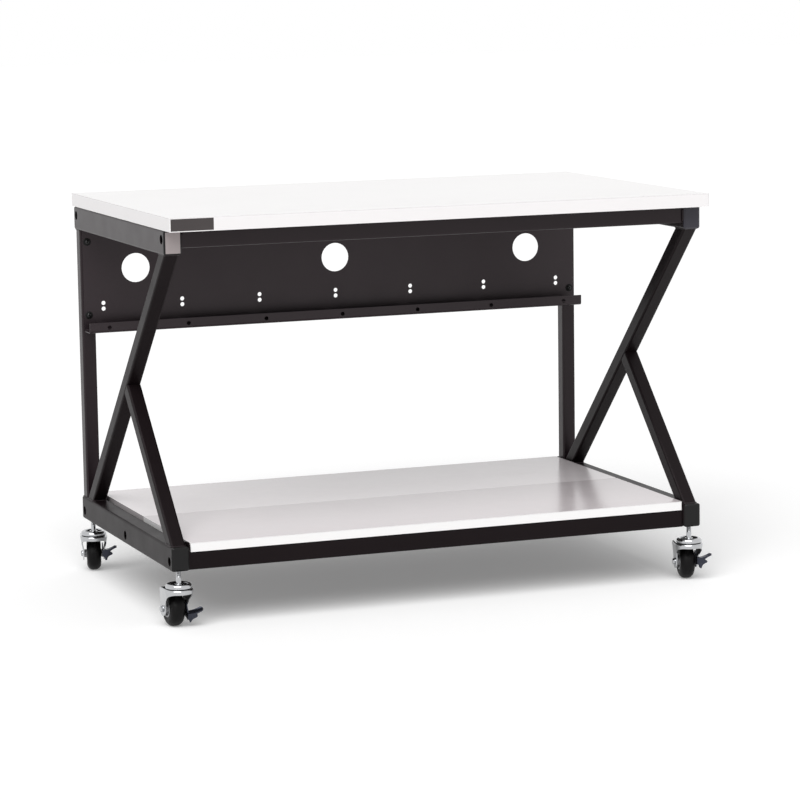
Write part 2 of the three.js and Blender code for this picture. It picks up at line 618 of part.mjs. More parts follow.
function brakeLever(pressed) {
  const hole = rodX(AXLE_HOLE_RADIUS, 4 * LEVER_THICKNESS, AXLE_SIDES);
  return cut(join(leverArm(), [pedal()]), [hole])
    .rotateX(pressed ? THREE.MathUtils.degToRad(BRAKE_TRAVEL_DEG) : 0)
    .translate(HUB_REACH.right + LEVER_GAP, TRAIL, WHEEL_RADIUS);
}

function addCaster(name, side, y) {
  const caster = new THREE.Group();
  caster.position.set(side * RAIL_X, y, 0);
  caster.rotation.z = THREE.MathUtils.degToRad(CASTER_TURN_DEG[name]);
  table.add(caster);
  place(`caster_stem_${name}`, casterStem(), FINISH.chrome(), caster);
  place(`swivel_cup_${name}`, swivelCup(), FINISH.chrome(), caster);
  place(`fork_${name}`, casterFork(), FINISH.chrome(), caster);
  place(`tyre_${name}`, tyre(), FINISH.rubber(), caster);
  place(`hub_${name}`, hub(), FINISH.greyPlastic(), caster);
  place(`axle_bolt_${name}`, axleBolt(), FINISH.chrome(), caster);
  place(`axle_nut_${name}`, axleNut(), FINISH.chrome(), caster);
  place(`brake_lever_${name}`, brakeLever(BRAKE_ON.includes(name)), FINISH.stampedSteel(), caster);
}

addBoards();
addEndFrame(-1, 'left');
addEndFrame(1, 'right');
addCrossRails();
addEndCaps();
addBackPanel();
for (const [end, y] of Object.entries(CROSS_PLACES)) {
  addCaster(`${end}_left`, -1, y);
  addCaster(`${end}_right`, 1, y);
}

export default table;
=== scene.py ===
"""Looks of a mobile assembly table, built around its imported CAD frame. Metres, +Z up, front towards -Y."""
import json
import math

import bmesh
import bpy
from mathutils import Matrix, Vector


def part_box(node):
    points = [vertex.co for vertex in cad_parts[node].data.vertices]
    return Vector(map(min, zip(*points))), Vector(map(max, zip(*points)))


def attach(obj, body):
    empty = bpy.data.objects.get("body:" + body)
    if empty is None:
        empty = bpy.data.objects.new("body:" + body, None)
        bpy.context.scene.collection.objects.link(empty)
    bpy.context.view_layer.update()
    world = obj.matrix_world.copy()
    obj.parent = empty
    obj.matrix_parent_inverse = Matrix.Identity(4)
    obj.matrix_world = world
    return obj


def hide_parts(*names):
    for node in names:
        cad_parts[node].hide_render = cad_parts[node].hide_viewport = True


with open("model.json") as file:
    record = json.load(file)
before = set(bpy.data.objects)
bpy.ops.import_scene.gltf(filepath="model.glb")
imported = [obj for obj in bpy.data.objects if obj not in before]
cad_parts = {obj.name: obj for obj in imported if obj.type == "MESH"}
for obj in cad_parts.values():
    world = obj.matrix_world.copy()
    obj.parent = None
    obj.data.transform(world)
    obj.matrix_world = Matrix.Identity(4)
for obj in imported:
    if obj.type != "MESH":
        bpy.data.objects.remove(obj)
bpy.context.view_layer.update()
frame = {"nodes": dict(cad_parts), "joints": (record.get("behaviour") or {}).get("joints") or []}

MM = 0.001
INCH = 0.0254
JOINTS = {joint["name"]: joint for joint in frame["joints"]}
CASTERS = ("front_left", "front_right", "rear_left", "rear_right")
CASTER_NODES = ("caster_", "swivel_", "fork_", "tyre_", "hub_", "axle_", "brake_")
SIDES = {"left": -1, "right": 1}
FRAME_BODY = "table_frame"

# Camera at the photograph's viewing angle, in an 800 by 800 picture
IMAGE_SIZE = 800
FOCAL_PIXELS = 3166.9
SENSOR_MM = 36
CLIP_END = 100
CAMERA_PLACE = Vector((-2.4655, -6.5415, 1.4186))
CAMERA_YAW = 0.3645
CAMERA_PITCH = 0.1443
CAMERA_ROLL = -0.0149

# Places read from the frame, and sizes of its tubes and sheet
FRAME_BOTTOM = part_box("bottom_rail_left")[0].z
LOWER_RAIL_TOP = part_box("bottom_rail_left")[1].z
UPPER_RAIL_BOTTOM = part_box("top_rail_left")[0].z
CROSS_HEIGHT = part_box("bottom_cross_rail_centre")[1].z - FRAME_BOTTOM
RAIL_WALL = 2 * MM
PANEL_SHEET = 2 * MM
STRUT_SIZE = 1.25 * INCH
BRACE_FOOT = STRUT_SIZE * math.sqrt(2)


# Materials

NOISE_RANGE = (0.3, 0.7)
SMUDGES_PER_CLOUD = 4
GRAIN_DEPTH = 0.2 * MM
WARM_GLOSS = (1, 0.89, 0.92)

# Laminated boards: normals of faces and undersides, tones, and the line between face and edge
FACE_NORMALS = (0.4, 0.6)
UNDERSIDE_NORMALS = (-0.6, -0.4)
# Dark backing for faces that point down: a backer sheet, and also painted shade under the top and the
# shelves.
BACKING_AND_SHADE_COLOR = (0.06, 0.05, 0.045)
BACKING_SHADE = 0.1
BOARD_SHADE = 0.008
BOARD_CLOUD = 3.0
BOARD_SMUDGE = 14.0
BOARD_GRAIN = 700.0
BOARD_BUMP = 0.06
BOARD_DEPTH = 0.1 * MM
BOARD_GLOSS = (-0.02, 0.03)
LAMINATE_THICKNESS = 0.9 * MM
SEAM_HALF_WIDTH = 0.25 * MM
SEAM_SHADE = 0.72


def new_material(name):
    material = bpy.data.materials.new(name)
    material.use_nodes = True
    nodes = material.node_tree.nodes
    return material, nodes, material.node_tree.links, nodes["Principled BSDF"]


def object_noise(nodes, links, scale, detail):
    """Noise that stays with the object."""
    place = nodes.new("ShaderNodeTexCoord")
    texture = nodes.new("ShaderNodeTexNoise")
    texture.inputs["Scale"].default_value = scale
    texture.inputs["Detail"].default_value = detail
    links.new(place.outputs["Object"], texture.inputs["Vector"])
    return texture.outputs["Fac"]


def scaled(color, factor):
    return tuple(channel * factor for channel in color)


def shaded(nodes, links, factor, color, shade):
    """A colour that a factor takes from a little darker to a little lighter."""
    ramp = nodes.new("ShaderNodeValToRGB")
    for element, position, level in zip(ramp.color_ramp.elements, NOISE_RANGE, (1 - shade, 1 + shade)):
        element.position = position
        element.color = (*scaled(color, level), 1)
    links.new(factor, ramp.inputs["Fac"])
    return ramp.outputs["Color"]


def map_range(nodes, links, value, low, high, across=NOISE_RANGE):
    """A value that runs from low to high across a range of another value."""
    mapped = nodes.new("ShaderNodeMapRange")
    mapped.inputs["From Min"].default_value = across[0]
    mapped.inputs["From Max"].default_value = across[1]
    mapped.inputs["To Min"].default_value = low
    mapped.inputs["To Max"].default_value = high
    links.new(value, mapped.inputs["Value"])
    return mapped.outputs["Result"]


def color_over(nodes, links, factor, base):
    """A node that lays the colour at its input B over a base colour where a factor is 1."""
    mix = nodes.new("ShaderNodeMix")
    mix.data_type = "RGBA"
    links.new(factor, mix.inputs["Factor"])
    links.new(base, mix.inputs["A"])
    return mix


def add_bump(nodes, links, shader, height, strength, distance):
    bump = nodes.new("ShaderNodeBump")
    bump.inputs["Strength"].default_value = strength
    bump.inputs["Distance"].default_value = distance
    links.new(height, bump.inputs["Height"])
    links.new(bump.outputs["Normal"], shader.inputs["Normal"])


def surface(name, color, roughness, spread=0.08, cloud=5.0, grain=900.0, bump=0.1, metallic=0.0, ior=1.45,
            shade=0.12, gloss_tint=(1, 1, 1)):
    """A finish with slow changes of colour and gloss and a fine grain in its height."""
    material, nodes, links, shader = new_material(name)
    shader.inputs["Specular Tint"].default_value = (*gloss_tint, 1)
    shader.inputs["Metallic"].default_value = metallic
    shader.inputs["IOR"].default_value = ior
    clouds = object_noise(nodes, links, cloud, detail=4)
    links.new(shaded(nodes, links, clouds, color, shade), shader.inputs["Base Color"])
    smudges = object_noise(nodes, links, cloud * SMUDGES_PER_CLOUD, detail=3)
    gloss = map_range(nodes, links, smudges, roughness - spread, roughness + spread)
    links.new(gloss, shader.inputs["Roughness"])
    fine = object_noise(nodes, links, grain, detail=1)
    add_bump(nodes, links, shader, fine, bump, GRAIN_DEPTH)
    return material


def powder_coat(name, color, roughness, ior):
    return surface(name, color, roughness, spread=0.02, grain=1100, bump=0.14, ior=ior, gloss_tint=WARM_GLOSS)


def board_surface(name, face_color, edge_color, roughness, ior, top_z):
    """Laminate on board: face, edge band and dark backing sheet, which is also painted shade on the
    undersides, with a fine line between face and edge.
    """
    material, nodes, links, shader = new_material(name)
    shader.inputs["IOR"].default_value = ior
    geometry = nodes.new("ShaderNodeNewGeometry")
    normal = nodes.new("ShaderNodeSeparateXYZ")
    links.new(geometry.outputs["Normal"], normal.inputs["Vector"])

    clouds = object_noise(nodes, links, BOARD_CLOUD, detail=4)
    edge = shaded(nodes, links, clouds, edge_color, BOARD_SHADE)
    facing_up = map_range(nodes, links, normal.outputs["Z"], 0, 1, FACE_NORMALS)
    board = color_over(nodes, links, facing_up, edge)
    links.new(shaded(nodes, links, clouds, face_color, BOARD_SHADE), board.inputs["B"])
    # Undersides take the dark backing, partly a backer sheet and partly painted shade.
    facing_down = map_range(nodes, links, normal.outputs["Z"], 1, 0, UNDERSIDE_NORMALS)
    backed_and_shaded = color_over(nodes, links, facing_down, board.outputs["Result"])
    links.new(shaded(nodes, links, clouds, BACKING_AND_SHADE_COLOR, BACKING_SHADE), backed_and_shaded.inputs["B"])

    place = nodes.new("ShaderNodeTexCoord")
    split = nodes.new("ShaderNodeSeparateXYZ")
    links.new(place.outputs["Object"], split.inputs["Vector"])
    line = nodes.new("ShaderNodeMath")
    line.operation = "COMPARE"
    line.inputs[1].default_value = top_z - LAMINATE_THICKNESS
    line.inputs[2].default_value = SEAM_HALF_WIDTH
    links.new(split.outputs["Z"], line.inputs[0])
    seam = color_over(nodes, links, line.outputs["Value"], backed_and_shaded.outputs["Result"])
    seam.inputs["B"].default_value = (*scaled(edge_color, SEAM_SHADE), 1)
    links.new(seam.outputs["Result"], shader.inputs["Base Color"])

    smudges = object_noise(nodes, links, BOARD_SMUDGE, detail=3)
    gloss = map_range(nodes, links, smudges, roughness + BOARD_GLOSS[0], roughness + BOARD_GLOSS[1])
    links.new(gloss, shader.inputs["Roughness"])
    fine = object_noise(nodes, links, BOARD_GRAIN, detail=1)
    add_bump(nodes, links, shader, fine, BOARD_BUMP, BOARD_DEPTH)
    return material


POWDER = powder_coat("powder_coat", (0.007, 0.0037, 0.005), 0.36, 1.39)
# A darker, duller copy of the frame's powder coat for the lower rails and braces: painted shade on the lower
# parts of the frame.
SHADED_LOWER_POWDER = powder_coat("shaded_lower_powder_coat", (0.005, 0.003, 0.0035), 0.42, 1.22)
PANEL_POWDER = powder_coat("panel_powder_coat", (0.0135, 0.009, 0.011), 0.4, 1.47)
BLACK_PLASTIC = surface("black_plastic", (0.0045, 0.0042, 0.0044), 0.42, ior=1.33, grain=1400, bump=0.12)
BLUE_PLASTIC = surface("blue_grey_plastic", (0.032, 0.03, 0.041), 0.42, ior=1.44, grain=1400, bump=0.12)
SILVER = surface("silver_plate", (0.33, 0.29, 0.29), 0.45, metallic=0.6, grain=1600, bump=0.08)
DARK_PLATE = surface("dark_plate", (0.05, 0.042, 0.042), 0.38, ior=1.4, grain=1600, bump=0.05)
CHROME = surface("chrome_plate", (0.5, 0.507, 0.52), 0.11, spread=0.04, metallic=1.0, cloud=30, grain=500,
                 bump=0.02, shade=0.05)
# Near black lining for the inside of the forks: painted shade where the inner faces lie in shadow and mirror
# the dark tyre.
FORK_INSIDE_SHADE = surface("painted_shade_fork_inside", (0.006, 0.006, 0.0065), 0.5, ior=1.2, cloud=40, grain=900)
RUBBER = surface("tyre_rubber", (0.0046, 0.0042, 0.0044), 0.46, ior=1.22, cloud=40, grain=1500, bump=0.2)
SEAL_RUBBER = surface("seal_rubber", (0.004, 0.004, 0.004), 0.6, ior=1.3, cloud=40, grain=1500, bump=0.2)
HUB_PLASTIC = surface("hub_plastic", (0.3, 0.3, 0.31), 0.4, cloud=40, grain=1500)
LEVER_STEEL = surface("lever_steel", (0.04, 0.043, 0.058), 0.3, metallic=0.85, cloud=40, grain=900, bump=0.05)
BLACK_OXIDE = surface("black_oxide", (0.004, 0.004, 0.0045), 0.3, ior=1.5, cloud=60, grain=1500)
ZINC = surface("zinc_plate", (0.25, 0.25, 0.26), 0.35, metallic=1.0, cloud=60, grain=900, bump=0.05)
TOP_LAMINATE = board_surface("top_laminate", (0.88, 0.87, 0.868), (0.86, 0.84, 0.842), 0.42, 1.4,
                             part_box("tabletop")[1].z)
FRONT_LAMINATE = board_surface("front_shelf_laminate", (0.66, 0.605, 0.62), (0.88, 0.87, 0.868), 0.2, 1.5,
                               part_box("shelf_front")[1].z)
# The rear board's face is painted lighter than the front board's, as painted light, and its edge band darker,
# as painted shade.
REAR_LAMINATE_PAINTED_LIGHT = board_surface("rear_shelf_laminate_painted_light", (0.86, 0.805, 0.82), (0.5, 0.47, 0.475), 0.2, 1.5,
                              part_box("shelf_rear")[1].z)


# Mesh helpers

MERGE_DISTANCE = 1e-6
BEVEL_SEGMENTS = 2
HEX_SIDES = 6
HEX_CHAMFER = 0.9
HEX_FACE_SHARE = 0.86


def piece(name, verts, faces, material, body, replaced=(), matrix=Matrix.Identity(4), sharp=35,
          lining=None, lined=()):
    """A new piece from points in metres, put in its place by a matrix and riding on a body.

    The faces whose numbers are in lined get the lining as their material.
    """
    mesh = bpy.data.meshes.new(name)
    mesh.from_pydata([matrix @ Vector(v) for v in verts], [], faces)
    for index in lined:
        mesh.polygons[index].material_index = 1
    clean = bmesh.new()
    clean.from_mesh(mesh)
    bmesh.ops.remove_doubles(clean, verts=clean.verts, dist=MERGE_DISTANCE)
    bmesh.ops.recalc_face_normals(clean, faces=clean.faces)
    clean.to_mesh(mesh)
    clean.free()
    mesh.shade_smooth()
    mesh.set_sharp_from_angle(angle=math.radians(sharp))
    obj = bpy.data.objects.new(name, mesh)
    bpy.context.scene.collection.objects.link(obj)
    mesh.materials.append(material)
    if lining:
        mesh.materials.append(lining)
    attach(obj, body)
    if replaced:
        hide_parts(*replaced)
    return obj


def soften(obj, width, angle=30):
    """Rounded edges where faces meet at more than an angle in degrees."""
    bevel = obj.modifiers.new("rounded_edges", "BEVEL")
    bevel.width = width
    bevel.segments = BEVEL_SEGMENTS
    bevel.limit_method = "ANGLE"
    bevel.angle_limit = math.radians(angle)
    bevel.use_clamp_overlap = True


def grid_faces(rows, columns, wrap=False):
    """Quads of a grid whose points run along the columns first."""
    faces = []
    for row in range(rows - 1):
        for column in range(columns if wrap else columns - 1):
            after = (column + 1) % columns
            faces.append((row * columns + column, row * columns + after,
                          (row + 1) * columns + after, (row + 1) * columns + column))
    return faces


def turned(profile, segments, closed=True):
    """Points and faces of a profile of (radius, height) revolved about Z."""
    loop = list(profile) + [profile[0]] if closed else list(profile)
    verts = []
    for radius, height in loop:
        for step in range(segments):
            angle = math.tau * step / segments
            verts.append((radius * math.cos(angle), radius * math.sin(angle), height))
    return verts, grid_faces(len(loop), segments, wrap=True)


def arc(centre, radius, start, end, steps):
    """Points on an arc, its angles in degrees."""
    angles = [math.radians(start + (end - start) * step / steps) for step in range(steps + 1)]
    return [(centre[0] + radius * math.cos(a), centre[1] + radius * math.sin(a)) for a in angles]


def bezier(controls, steps):
    """Points on a Bezier curve of any degree."""
    run = []
    for step in range(steps + 1):
        t = step / steps
        level = controls
        while len(level) > 1:
            level = [tuple(a + (b - a) * t for a, b in zip(p, q)) for p, q in zip(level, level[1:])]
        run.append(level[0])
    return run


def in_metres(points):
    return [tuple(value * MM for value in point) for point in points]


def prism(outline, low, high):
    """Points and faces of an outline in XY between two heights. Its side faces come first."""
    count = len(outline)
    verts = [(x, y, low) for x, y in outline] + [(x, y, high) for x, y in outline]
    sides = [(i, (i + 1) % count, count + (i + 1) % count, count + i) for i in range(count)]
    return verts, sides + [tuple(reversed(range(count))), tuple(range(count, 2 * count))]


def hex_head(radius, low, high):
    """A hexagon with a chamfered face towards +Z."""
    outline = arc((0, 0), radius, 0, 360, HEX_SIDES)[:-1]
    verts, faces = prism(outline, low, high - HEX_CHAMFER)
    base = HEX_SIDES
    start = 2 * HEX_SIDES
    face = [(x * HEX_FACE_SHARE, y * HEX_FACE_SHARE, high) for x, y in outline]
    chamfers = [(base + i, base + (i + 1) % HEX_SIDES, start + (i + 1) % HEX_SIDES, start + i)
                for i in range(HEX_SIDES)]
    return verts + face, faces[:-1] + chamfers + [tuple(range(start, start + HEX_SIDES))]


def along(axis):
    """Turns +Z to an axis."""
    return Vector((0, 0, 1)).rotation_difference(Vector(axis)).to_matrix().to_4x4()


def joined(*parts):
    """Several (points, faces) as one."""
    verts, faces = [], []
    for part_verts, part_faces in parts:
        start = len(verts)
        verts.extend(part_verts)
        faces.extend(tuple(start + index for index in face) for face in part_faces)
    return verts, faces


# Casters: the stem stands on the local origin and the wheel trails towards +Y, in millimetres

STEM_PLACE = Vector(JOINTS["swivel_turn_front_left"]["pos_m"])
AXLE_PLACE = Vector(JOINTS["wheel_roll_front_left"]["pos_m"])
WHEEL_RADIUS = AXLE_PLACE.z / MM
TRAIL = (AXLE_PLACE - STEM_PLACE).xy.length / MM
ROUND_SEGMENTS = 96

# Stem
STEM_RADIUS = 5.5
STEM_TOP = 143
STEM_CHAMFER = 1
STEM_SEGMENTS = 40
THREAD_BOTTOM = 110
THREAD_START = 1
THREAD_PITCH = 1.75
THREAD_DEPTH = 0.5
THREAD_STEPS = 8
PIN_HEAD_RADIUS = 9
PIN_HEAD_BOTTOM = 79.5
PIN_HEAD_TOP = 83.2

# Swivel cup: a bulging side, a rim that rolls over into a dish, and a collar round the stem
CUP_BOTTOM = 88
CUP_TOP = 97.6
CUP_RADIUS = 28.5
CUP_BORE = STEM_RADIUS + 0.3
CUP_EDGE = 1.2
CUP_WALL_TOP = 89.6
RIM_RADIUS = 22.5
CUP_BULGE = ((CUP_RADIUS, CUP_WALL_TOP), (28.8, 93), (27, CUP_TOP), (RIM_RADIUS, CUP_TOP))
RIM_ROLL = ((22.2, CUP_TOP), (20, CUP_TOP), (19, 95.6))
DISH_FLOOR = 93.3
DISH_PROFILE = ((18.9, 95.5), (17.3, 93.7), (17, DISH_FLOOR), (9.5, DISH_FLOOR), (9.1, 93.7))
COLLAR_RADIUS = 9
COLLAR_FOOT = 93.8
COLLAR_TOP = 97
COLLAR_EDGE = 1
EDGE_STEPS = 5
BULGE_STEPS = 16
ROLL_STEPS = 8

# Fork, pressed from one sheet
FORK_WALL = 2.5
FORK_OUTER = 24.5
FORK_KNEE = 46
FORK_SHOULDER = 82
FORK_BOSS_RADIUS = 15
FORK_EDGE = 0.5 * MM
CROWN_RADIUS = 31
CROWN_BACK = 33
CROWN_TOP = 86.5
CROWN_ROUND = 4
CROWN_SKIRT = 76.5
CROWN_SKIRT_END = -26
CROWN_BORE = STEM_RADIUS + 0.5
NOSE_DEG = range(-60, -91, -5)
ARCH_BEND = ((11, 61), (-8, 73))
BOSS_BACK_DEG = 375
BOSS_FRONT_DEG = 180
REAR_RIM = 28
BOSS_RIM = 21
REAR_STEPS = 12
BOSS_STEPS = 30
ARCH_STEPS = 22
FLAT_ROWS = 5
ROUND_ROWS = 7
DROP_ROWS = 18
REAR_COLUMNS = 14

# Dark seal in the gap between cup and fork, which is also painted shade in the gap
SEAL_LOW = CROWN_TOP + 0.2
SEAL_HIGH = CUP_BOTTOM - 0.05
SEAL_INNER = CROWN_BORE + 4
SEAL_OUTER = CUP_RADIUS - 2
SEAL_BULGE = 0.4

# Tyre
TYRE_HALF_WIDTH = 16
TYRE_BORE = 19.4
TYRE_BEAD = 1.5
TYRE_SIDE = ((23.2, 15.5), (24, 15.9))
TYRE_SHOULDER = 25
TREAD_HALF_FLAT = 3
TREAD_STEPS = 16
BEAD_STEPS = 4

# Hub
HUB_RADIUS = 19
HUB_RING_RADIUS = 15.5
HUB_RING_HALF = 16
HUB_WEB_HALF = 10
HUB_BOSS_RADIUS = 9
HUB_REACH_LEFT = 21.5
HUB_REACH_RIGHT = 18.2
HUB_EDGE = 0.8
HUB_LIP = 0.6
HUB_EDGE_STEPS = 3
WEB_PROFILE = ((9.8, 10.8), (10.6, HUB_WEB_HALF), (13.9, HUB_WEB_HALF), (14.6, 10.7))
HUB_RIBS = 6
RIB_OUTLINE = ((9.2, -1.1), (15.4, -0.9), (15.4, 0.9), (9.2, 1.1))
RIB_SINK = 0.2
RIB_HEIGHT = 3.2

# Axle
AXLE_RADIUS = 4
AXLE_BORE = 4.35
AXLE_PROUD = 0.9
AXLE_TIP_RADIUS = 3.2
AXLE_TIP_LENGTH = 1
AXLE_SEGMENTS = 32
HEX_RADIUS = 6.4
HEAD_SEAT = FORK_OUTER + 0.3
HEAD_THICKNESS = 4.6
NUT_THICKNESS = 5
WASHER_RADIUS = 7.4
WASHER_THICKNESS = 1
WASHER_SEGMENTS = 40

# Brake lever, about the axle
LEVER_THICKNESS = 2.5
LEVER_X = HUB_REACH_RIGHT + 0.4
LEVER_EDGE = 0.5 * MM
LEVER_EYE_RADIUS = 10
LEVER_EYE_DEG = (-110, 75)
EYE_STEPS = 24
ARM_FRONT = -34
ARM_TOP = 13
ARM_FOOT = -2
LEVER_FINGER = ((-7, 25), (-14, 24))
PEDAL_BACK = -27
PEDAL_FRONT = -39
PEDAL_CORNER = 5
PEDAL_SLICES = 14
WING_REACH = 33
WING_TIP = 21
WING_THICKNESS = 4
WING_STEPS = 10
LOBE_REACH = 23
LOBE_HEIGHT = 3.5
LOBE_NOSE = 0.8
NOTCH = (18, 8.5)
FOOT_TIP = (11, -10.5)
FOOT_WIDTH = 4
FOOT_STEPS = 8


def caster_matrix(name):
    stem = Vector(JOINTS[f"swivel_turn_{name}"]["pos_m"])
    axis = JOINTS[f"wheel_roll_{name}"]["axis"]
    return Matrix.Translation(stem) @ Matrix.Rotation(math.atan2(axis[1], axis[0]), 4, "Z")


def on_axle(name):
    """The caster's own directions with the origin in the middle of the axle."""
    return caster_matrix(name) @ Matrix.Translation(Vector((0, TRAIL, WHEEL_RADIUS)) * MM)


def along_axle(name):
    """The wheel's own frame: +Z along the axle, to the lever's side."""
    return on_axle(name) @ Matrix.Rotation(math.pi / 2, 4, "Y")


def add_stem(name):
    """A stem with a head under the fork and a thread at its top."""
    thread_top = STEM_TOP - STEM_CHAMFER
    rows = [(0, PIN_HEAD_BOTTOM, 0), (PIN_HEAD_RADIUS, PIN_HEAD_BOTTOM, 0),
            (PIN_HEAD_RADIUS, PIN_HEAD_TOP, 0), (STEM_RADIUS, PIN_HEAD_TOP, 0),
            (STEM_RADIUS, THREAD_BOTTOM - THREAD_START, 0)]
    steps = int((thread_top - THREAD_BOTTOM) / THREAD_PITCH * THREAD_STEPS)
    rows += [(STEM_RADIUS, THREAD_BOTTOM + step * THREAD_PITCH / THREAD_STEPS, THREAD_DEPTH)
             for step in range(steps + 1)]
    rows += [(STEM_RADIUS - STEM_CHAMFER, STEM_TOP, 0), (0, STEM_TOP, 0)]
    verts = []
    for radius, height, depth in rows:
        for step in range(STEM_SEGMENTS):
            angle = math.tau * step / STEM_SEGMENTS
            turn = (height / THREAD_PITCH - step / STEM_SEGMENTS) % 1
            r = radius - depth * abs(2 * turn - 1)
            verts.append((r * math.cos(angle), r * math.sin(angle), height))
    faces = grid_faces(len(rows), STEM_SEGMENTS, wrap=True)
    piece(f"stem_{name}", in_metres(verts), faces, CHROME, FRAME_BODY,
          [f"caster_stem_{name}"], caster_matrix(name), sharp=60)


def add_cup(name):
    """A cup with a thick round rim and a dark dish, and the dark seal under it, which is also painted shade
    in the gap.
    """
    outside = [(CUP_BORE, CUP_BOTTOM),
               *arc((CUP_RADIUS - CUP_EDGE, CUP_BOTTOM + CUP_EDGE), CUP_EDGE, -90, 0, EDGE_STEPS),
               *bezier(CUP_BULGE, BULGE_STEPS), *bezier(RIM_ROLL, ROLL_STEPS)]
    collar = [(COLLAR_RADIUS, COLLAR_FOOT),
              *arc((COLLAR_RADIUS - COLLAR_EDGE, COLLAR_TOP - COLLAR_EDGE), COLLAR_EDGE, 0, 90, EDGE_STEPS),
              (CUP_BORE, COLLAR_TOP)]
    verts, faces = turned(in_metres([*outside, *DISH_PROFILE, *collar]), ROUND_SEGMENTS)
    first = len(outside) * ROUND_SEGMENTS
    last = first + (len(DISH_PROFILE) - 1) * ROUND_SEGMENTS
    piece(f"cup_{name}", verts, faces, CHROME, FRAME_BODY, [f"swivel_cup_{name}"],
          caster_matrix(name), sharp=50, lining=SEAL_RUBBER, lined=range(first, last))

    # The seal is dark rubber that also stands in for painted shade in the gap.
    seal = [(SEAL_INNER, SEAL_LOW), (SEAL_OUTER, SEAL_LOW),
            (SEAL_OUTER + SEAL_BULGE, (SEAL_LOW + SEAL_HIGH) / 2),
            (SEAL_OUTER, SEAL_HIGH), (SEAL_INNER, SEAL_HIGH)]
    verts, faces = turned(in_metres(seal), ROUND_SEGMENTS)
    piece(f"swivel_seal_and_shade_{name}", verts, faces, SEAL_RUBBER, FRAME_BODY,
          matrix=caster_matrix(name), sharp=50)


def leg_half_width(z):
    """Half of the fork's outer width at a height: wide at the crown, closing in to the axle."""
    t = min(1, max(0, (z - FORK_KNEE) / (FORK_SHOULDER - FORK_KNEE)))
    return FORK_OUTER + (CROWN_RADIUS - FORK_OUTER) * t


def crown_outline(y, radius):
    """Plan of the crown's right half at a radius: straight behind the stem, round in front of it."""
    if y >= 0:
        return radius, y
    angle = math.asin(max(-1, y / CROWN_RADIUS))
    return radius * math.cos(angle), radius * math.sin(angle)


def fork_columns():
    """For the right half, from the rear corner to the middle of the front: (rim y, edge y, edge z)."""
    boss = arc((TRAIL, WHEEL_RADIUS), FORK_BOSS_RADIUS, BOSS_BACK_DEG, BOSS_FRONT_DEG, BOSS_STEPS)
    rear = bezier([(CROWN_BACK, CROWN_TOP - CROWN_ROUND), boss[0]], REAR_STEPS)
    arch = bezier([boss[-1], *ARCH_BEND, (CROWN_SKIRT_END, CROWN_SKIRT)], ARCH_STEPS)
    nose = [CROWN_RADIUS * math.sin(math.radians(angle)) for angle in NOSE_DEG]
    columns = [(CROWN_BACK, *rear[0])]
    for run, start, end in ((rear, CROWN_BACK, REAR_RIM), (boss, REAR_RIM, BOSS_RIM),
                            (arch, BOSS_RIM, CROWN_SKIRT_END)):
        for step, (y, z) in enumerate(run[1:], start=1):
            columns.append((start + (end - start) * step / (len(run) - 1), y, z))
    return columns + [(y, y, CROWN_SKIRT) for y in nose]


def fork_points(inset):
    """Points of one face of the fork's sheet: the flat of the crown, then its round edge and the legs."""
    half = fork_columns()
    columns = [(1, *column) for column in half] + [(-1, *column) for column in reversed(half[:-1])]
    flat_radius = CROWN_RADIUS - CROWN_ROUND
    top = CROWN_TOP - inset
    flat_ring = []
    for hand, rim_y, edge_y, edge_z in columns:
        x, y = crown_outline(rim_y, flat_radius)
        flat_ring.append((hand * x, y))
    for step in range(1, REAR_COLUMNS):
        flat_ring.append((flat_radius * (2 * step / REAR_COLUMNS - 1), CROWN_BACK))
    points = []
    for row in range(FLAT_ROWS):
        share = row / (FLAT_ROWS - 1)
        for x, y in flat_ring:
            shrink = CROWN_BORE / math.hypot(x, y)
            scale = shrink + (1 - shrink) * share
            points.append((x * scale, y * scale, top))

    rim_z = CROWN_TOP - CROWN_ROUND
    bend = CROWN_ROUND - inset
    for row in range(1, ROUND_ROWS + 1):
        angle = math.pi / 2 * (1 - row / ROUND_ROWS)
        for hand, rim_y, edge_y, edge_z in columns:
            x, y = crown_outline(rim_y, flat_radius + bend * math.cos(angle))
            points.append((hand * x, y, rim_z + bend * math.sin(angle)))
    for row in range(1, DROP_ROWS + 1):
        share = row / DROP_ROWS
        for hand, rim_y, edge_y, edge_z in columns:
            z = rim_z + (edge_z - rim_z) * share
            x, y = crown_outline(rim_y + (edge_y - rim_y) * share, leg_half_width(z) - inset)
            points.append((hand * x, y, z))
    return points, len(columns), len(flat_ring)


def add_fork(name):
    """A sheet with an outer and an inner face, and walls round its edge and the hole for the stem."""
    outer, columns, ring = fork_points(0)
    inner = fork_points(FORK_WALL)[0]
    count = len(outer)
    skirt_start = FLAT_ROWS * ring
    last_flat = skirt_start - ring
    rows = ROUND_ROWS + DROP_ROWS
    faces = grid_faces(FLAT_ROWS, ring, wrap=True)
    faces += [(last_flat + i, last_flat + i + 1, skirt_start + i + 1, skirt_start + i)
              for i in range(columns - 1)]
    faces += [tuple(skirt_start + i for i in face) for face in grid_faces(rows, columns)]
    behind = [last_flat] + [last_flat + i for i in range(ring - 1, columns - 2, -1)]
    down = [skirt_start + row * columns + columns - 1 for row in range(rows)]
    along_edge = [skirt_start + (rows - 1) * columns + i for i in range(columns - 2, -1, -1)]
    up = [skirt_start + row * columns for row in range(rows - 2, -1, -1)]
    edge = behind + down + along_edge + up
    hole = list(range(ring))
    walls = []
    for loop in (edge, hole):
        walls += [(a, b, b + count, a + count) for a, b in zip(loop, loop[1:] + loop[:1])]
    inside = range(len(faces), 2 * len(faces))
    faces += [tuple(count + i for i in reversed(face)) for face in faces] + walls
    # The fork's inner faces are lined with near black painted shade.
    fork = piece(f"pressed_fork_{name}", in_metres(outer + inner), faces, CHROME, f"swivel_{name}",
                 [f"fork_{name}"], caster_matrix(name), sharp=40,
                 lining=FORK_INSIDE_SHADE, lined=inside)
    soften(fork, FORK_EDGE, angle=55)


